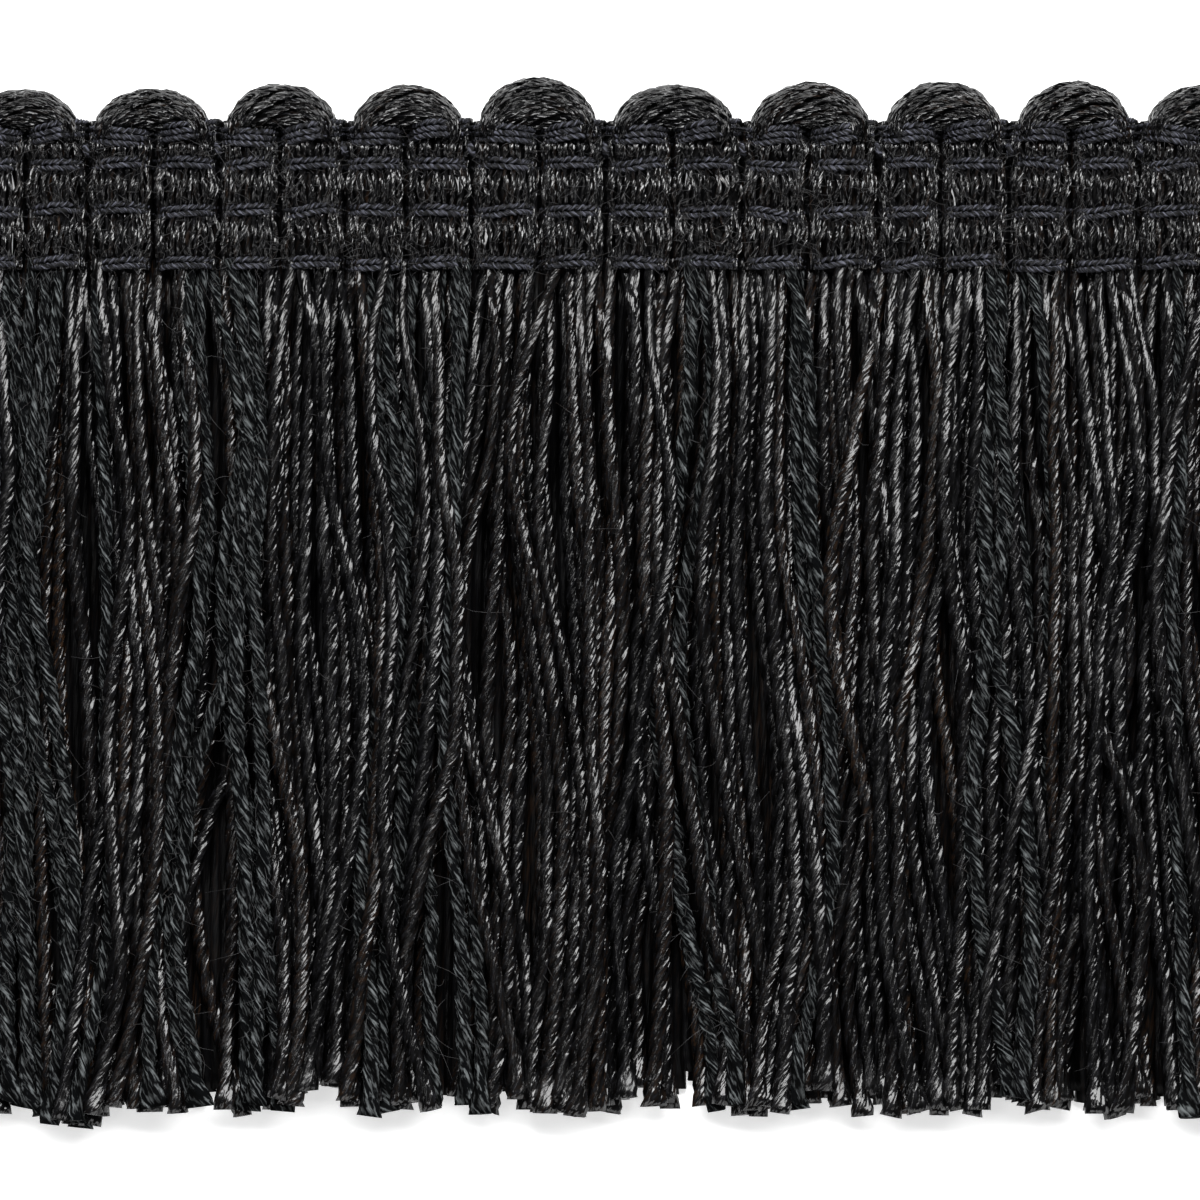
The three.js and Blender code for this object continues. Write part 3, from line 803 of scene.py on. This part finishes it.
class FRINGE_OT_skirt(bpy.types.Operator):
    """Makes the brush skirt: cut yarns in three layers that gather into locks and open into small brooms"""

    bl_idname = "fringe.skirt"
    bl_label = "Brush Skirt"
    bl_options = {"REGISTER", "UNDO"}

    SEED = 71
    BROOM = 2.6  # length of yarn that opens at the cut
    FLARE, TIP_LIFT, TIP_UNTWIST, CUT_SLANT = (0.25, 0.85), (0, 0.5), 0.9, 0.1
    PRESS = (0.2, 0.45)  # how far the pile flattens a yarn
    THICKNESS_SPREAD = 0.05
    LAY_RANGE = (0.85, 1.2)
    UNEVEN_TWIST = 0.5
    WAVES = (5, 11)
    SWAY_ACROSS, SWAY_UP, SWAY_RANGE = 0.04, 0.05, (0.3, 1.4)
    BED_LAY = 6
    SKIRT_WARMTH = (0.5, 3)
    SPUN_LAY = 3.4

    def yarn(self, yarns, chosen, steps, tip_steps, profile, diameter, lay, hand, rng):
        """Sweeps the chosen yarns. The pile presses a yarn flatter and wider, and its twist and sway vary in
        slow waves. Towards the cut end it widens, flattens, lifts and untwists by the square of its way
        through the broom, and the cut slants a little. The bed's yarns neither sway nor lift."""
        tip = self.BROOM / yarns.length[chosen].mean()
        body = np.linspace(0, 1 - tip, steps, endpoint=False)
        shares = np.concatenate([body, np.linspace(1 - tip, 1, tip_steps)])
        rows = np.flatnonzero(chosen)[:, None]
        depth = yarns.length[rows] * shares
        centres = skirt_points(yarns, rows, depth)
        each = (len(rows), 1)
        broom = ease((depth - depth[:, -1:]) / self.BROOM + 1) ** 2
        flare = rng.uniform(*self.FLARE, each) * broom
        still = yarns.layer[rows] == BED
        centres[..., 2] += np.where(still, 0, rng.uniform(*self.TIP_LIFT, each)) * broom
        squeeze = np.where(still, BED_THICKER, root_squeeze(depth))
        radius = diameter / 2 * (squeeze + rng.normal(0, self.THICKNESS_SPREAD, each) + flare)
        pressed = np.where(still, 0, rng.uniform(*self.PRESS, each))
        radius = radius * (1 + pressed / 2)
        flat = (1 - pressed) / (1 + flare)
        lays = lay * rng.uniform(*self.LAY_RANGE, each)
        uneven = np.sin(TURN * depth / rng.uniform(*self.WAVES, each) + rng.uniform(0, TURN, each))
        uneven = np.where(still, 0, self.UNEVEN_TWIST * uneven)
        turn = twist(centres, lays, rng.uniform(0, TURN, each), hand)
        turn = turn + uneven - hand * broom * self.TIP_UNTWIST
        for axis, reach in ((0, self.SWAY_ACROSS), (2, self.SWAY_UP)):
            wave, phase = rng.uniform(*self.WAVES, each), rng.uniform(0, TURN, each)
            sway = np.where(still, 0, reach * rng.uniform(*self.SWAY_RANGE, each))
            centres[..., axis] += sway * np.sin(TURN * depth / wave + phase)
        shear = rng.normal(0, self.CUT_SLANT, each) * broom
        return sweep(centres, radius, profile, turn, rng.beta(*self.SKIRT_WARMTH, len(rows)), flat, shear)

    def execute(self, context):
        sizes, colours = settings(context)
        yarns = skirt_yarns(sizes)
        rng = np.random.default_rng(self.SEED)
        glossy, dull = filament_yarn(colours), spun_yarn(colours)
        # Painted shade: the back bed takes a darker, low-gloss copy of the filament.
        shaded = shaded_inner_yarn(colours, "shaded_pile_viscose_filament", shine=0.06)
        left = yarns.place < TRIM_MIDDLE
        front = (yarns.layer == FRONT) & ~yarns.spun
        yarn, dull_yarn, lay = sizes.yarn_diameter / MM, sizes.spun_diameter / MM, sizes.yarn_lay / MM
        bed_lay = lay * self.BED_LAY
        for name, chosen, steps, tip_steps, material, *form in (
            ("skirt_front_left", front & left, 100, 8, glossy, FINE_YARN, yarn, lay, RIGHT_HAND),
            ("skirt_front_right", front & ~left, 100, 8, glossy, FINE_YARN, yarn, lay, RIGHT_HAND),
            ("skirt_middle", yarns.layer == MIDDLE, 78, 6, glossy, FINE_YARN, yarn, lay, RIGHT_HAND),
            ("skirt_back", yarns.layer == BED, 14, 4, shaded, ROUND_YARN, yarn, bed_lay, RIGHT_HAND),
            ("skirt_spun", yarns.spun, 104, 8, dull, SPUN_YARN, dull_yarn, self.SPUN_LAY, LEFT_HAND),
        ):
            made = self.yarn(yarns, chosen, steps, tip_steps, *form, rng)
            make_piece(name, [made], material, "cut_yarn", "brush_skirt")
        return {"FINISHED"}


class FRINGE_OT_loose_fibres(bpy.types.Operator):
    """Makes the fuzz: fine hairs that stand off the spun yarn, the heading and some lustrous yarns"""

    bl_idname = "fringe.loose_fibres"
    bl_label = "Loose Fibres"
    bl_options = {"REGISTER", "UNDO"}

    SEED = 97
    STATIONS = 4
    SPUN_HAIRS, SKIRT_HAIRS, HEADING_HAIRS = 2600, 400, 4500
    SCATTER, LIFT = 0.55, 0.6
    BEND, BEND_UP = 0.5, 0.4
    TAPER = 0.5
    SKIRT_LENGTHS, SKIRT_REACH, SKIRT_ANGLE = (0.4, 1.2), 0.94, 1.2
    ROOTED = 0.9  # share of a yarn's radius at which its hairs start
    HEADING_LENGTHS, HEADING_ANGLE, HEADING_MARGINS = (0.3, 0.8), 0.9, (0.1, 0.3)
    HEADING_SCATTER = 0.8
    SKIRT_LEAN, HEADING_LEAN = (0.5, 0.2), (0.6, 0.3)  # outwards and up

    def hairs(self, roots, angle, along, lean, lengths, rng, radius):
        """Hairs from these roots: a straight run in a scattered direction, which leans out at an angle from
        straight up, plus a bend that grows with the square of the way along, and a taper."""
        number = len(roots)
        out, up = lean
        way = np.stack([out * np.sin(angle), along, up * np.cos(angle)], axis=-1)
        way = way + rng.normal(0, self.SCATTER, (number, 3))
        way[:, 2] = np.abs(way[:, 2]) * self.LIFT
        way /= np.linalg.norm(way, axis=1, keepdims=True)
        bend = rng.normal(0, self.BEND, (number, 3)) * (1, 1, self.BEND_UP)
        share = np.linspace(0, 1, self.STATIONS)[:, None]
        run = way[:, None] * share + bend[:, None] * share**2
        centres = roots[:, None] + lengths[:, None, None] * run
        centres[..., 2] = np.maximum(centres[..., 2], 2 * radius)
        thin = radius * (1 - self.TAPER * share[:, 0])
        return sweep(centres, thin, HAIR, np.zeros(centres.shape[:2]), rng.random(number))

    def execute(self, context):
        """Hairs start on the upper side of a yarn or rib, at an angle from straight up, and lean outwards
        from there: along the yarn in the skirt, and up or down in the heading."""
        sizes, colours = settings(context)
        rng = np.random.default_rng(self.SEED)
        radius = sizes.hair_diameter / MM / 2
        yarns = skirt_yarns(sizes)
        made = []
        for chosen, number in ((yarns.spun, self.SPUN_HAIRS), (yarns.layer == FRONT, self.SKIRT_HAIRS)):
            rows = rng.choice(np.flatnonzero(chosen), number)
            roots = skirt_points(yarns, rows, yarns.length[rows] * rng.uniform(0, self.SKIRT_REACH, number))
            angle = rng.uniform(-self.SKIRT_ANGLE, self.SKIRT_ANGLE, number)
            half = np.where(yarns.spun[rows], sizes.spun_diameter, sizes.yarn_diameter) / MM / 2
            half = half * self.ROOTED
            roots = roots + np.stack([half * np.sin(angle), 0 * angle, half * np.cos(angle)], axis=-1)
            along, lengths = rng.choice([-1.0, 1.0], number), rng.uniform(*self.SKIRT_LENGTHS, number)
            made.append(self.hairs(roots, angle, along, self.SKIRT_LEAN, lengths, rng, radius))
        number = self.HEADING_HAIRS
        rib = rng.integers(0, len(RIB_MIDDLE), number)
        angle = rng.uniform(-self.HEADING_ANGLE, self.HEADING_ANGLE, number)
        above, below = self.HEADING_MARGINS
        drop = rng.uniform(-above, BINDING_DROPS[-1] + below, number)
        half, crown = rib_size(RIB_WIDTH[rib], bulge(drop))
        x = RIB_MIDDLE[rib] + half * np.sin(angle)
        z = RIB_CORE + (crown - RIB_CORE) * np.cos(angle)
        roots = np.stack([x, TOP_EDGE - drop, z], axis=-1)
        along = rng.normal(0, self.HEADING_SCATTER, number)
        lengths = rng.uniform(*self.HEADING_LENGTHS, number)
        made.append(self.hairs(roots, angle, along, self.HEADING_LEAN, lengths, rng, radius))
        make_piece("loose_fibres", made, loose_fibre(colours), "cut_yarn")
        return {"FINISHED"}


class FRINGE_OT_stage(bpy.types.Operator):
    """Sets the floor, the soft lights and the camera above the middle of the trim"""

    bl_idname = "fringe.stage"
    bl_label = "Stage"
    bl_options = {"REGISTER", "UNDO"}

    VIEW_WIDTH = 59.28
    VIEW_CENTRE = (-0.74, 0.27)
    CAMERA_HEIGHT, FOCUS_HEIGHT = 300.0, 2
    FLOOR_HALF = 1.0
    FLOOR_ROUGHNESS, FLOOR_GLOW = 0.9, 0.5
    SKY_STRENGTH = 0.03
    # Name, direction from the trim, distance, width and depth in metres, and watts.
    SOFTBOXES = (
        ("softbox_top", (0.1, 0.6, 1.0), 0.5, 0.6, 0.22, 5.6),
        ("softbox_front", (-0.25, 0.15, 1.0), 0.6, 0.5, 0.08, 0.6),
        ("softbox_low", (0.15, -1.0, 0.5), 0.5, 0.6, 0.22, 1.0),
    )

    def lamp(self, name, towards, distance, width, depth, power):
        """A softbox that faces the trim from this direction, with its width along the trim."""
        data = bpy.data.lights.new(name, "AREA")
        data.shape = "RECTANGLE"
        data.size, data.size_y = width, depth
        data.energy = power
        lamp = add_object(name, data)
        lamp.location = np.array(towards) / np.linalg.norm(towards) * distance
        lamp.rotation_euler = lamp.location.to_track_quat("Z", "Y").to_euler()
        lamp.visible_camera = False

    def execute(self, context):
        """The floor is one square. The lens is long enough for the view's width to fill the sensor from the
        camera's height above the yarns."""
        scene, colours = context.scene, context.scene.fringe_colours
        half = self.FLOOR_HALF
        corners = [(-half, -half, 0), (half, -half, 0), (half, half, 0), (-half, half, 0)]
        mesh = bpy.data.meshes.new("floor")
        mesh.from_pydata(corners, [], [(0, 1, 2, 3)])
        floor = add_object("floor", mesh)
        paper = bpy.data.materials.new("white_card")
        paper.use_nodes = True
        shader = paper.node_tree.nodes["Principled BSDF"]
        shader.inputs["Base Color"].default_value = (*colours.floor, 1)
        shader.inputs["Roughness"].default_value = self.FLOOR_ROUGHNESS
        shader.inputs["Emission Color"].default_value = (1, 1, 1, 1)
        shader.inputs["Emission Strength"].default_value = self.FLOOR_GLOW
        mesh.materials.append(paper)
        for softbox in self.SOFTBOXES:
            self.lamp(*softbox)
        world = bpy.data.worlds.new("studio")
        world.use_nodes = True
        sky = world.node_tree.nodes["Background"]
        sky.inputs["Color"].default_value = (1, 1, 1, 1)
        sky.inputs["Strength"].default_value = self.SKY_STRENGTH
        scene.world = world
        lens = bpy.data.cameras.new("camera")
        lens.lens = lens.sensor_width * self.CAMERA_HEIGHT / self.VIEW_WIDTH
        camera = add_object("camera", lens)
        place = (*self.VIEW_CENTRE, self.CAMERA_HEIGHT + self.FOCUS_HEIGHT)
        camera.location = tuple(length * MM for length in place)
        scene.camera = camera
        scene.view_settings.view_transform = "Standard"
        return {"FINISHED"}


class FRINGE_PT_panel(bpy.types.Panel):
    """Lists the trim's pieces, its sizes and its colours"""

    bl_idname = "FRINGE_PT_panel"
    bl_label = "Brush Fringe Trim"
    bl_space_type = "VIEW_3D"
    bl_region_type = "UI"
    bl_category = "Fringe"

    def draw(self, context):
        for operator in OPERATORS:
            self.layout.operator(operator.bl_idname)
        for group in settings(context):
            column = self.layout.column(align=True)
            for name in group.bl_rna.properties.keys():
                if name not in ("rna_type", "name"):
                    column.prop(group, name)


OPERATORS = (
    FRINGE_OT_heading_ribs, FRINGE_OT_binding_threads, FRINGE_OT_loops, FRINGE_OT_skirt,
    FRINGE_OT_loose_fibres, FRINGE_OT_stage,
)
CLASSES = (FringeSizes, FringeColours, *OPERATORS, FRINGE_PT_panel)


def register():
    """Registers the classes and the scene's settings."""
    for cls in CLASSES:
        bpy.utils.register_class(cls)
    bpy.types.Scene.fringe_sizes = bpy.props.PointerProperty(type=FringeSizes)
    bpy.types.Scene.fringe_colours = bpy.props.PointerProperty(type=FringeColours)


def unregister():
    """Undoes what register does."""
    del bpy.types.Scene.fringe_sizes
    del bpy.types.Scene.fringe_colours
    for cls in reversed(CLASSES):
        bpy.utils.unregister_class(cls)


def main():
    """Makes the pieces and the stage."""
    register()
    bpy.ops.fringe.heading_ribs()
    bpy.ops.fringe.binding_threads()
    bpy.ops.fringe.loops()
    bpy.ops.fringe.skirt()
    bpy.ops.fringe.loose_fibres()
    bpy.ops.fringe.stage()


if __name__ == "__main__":
    main()
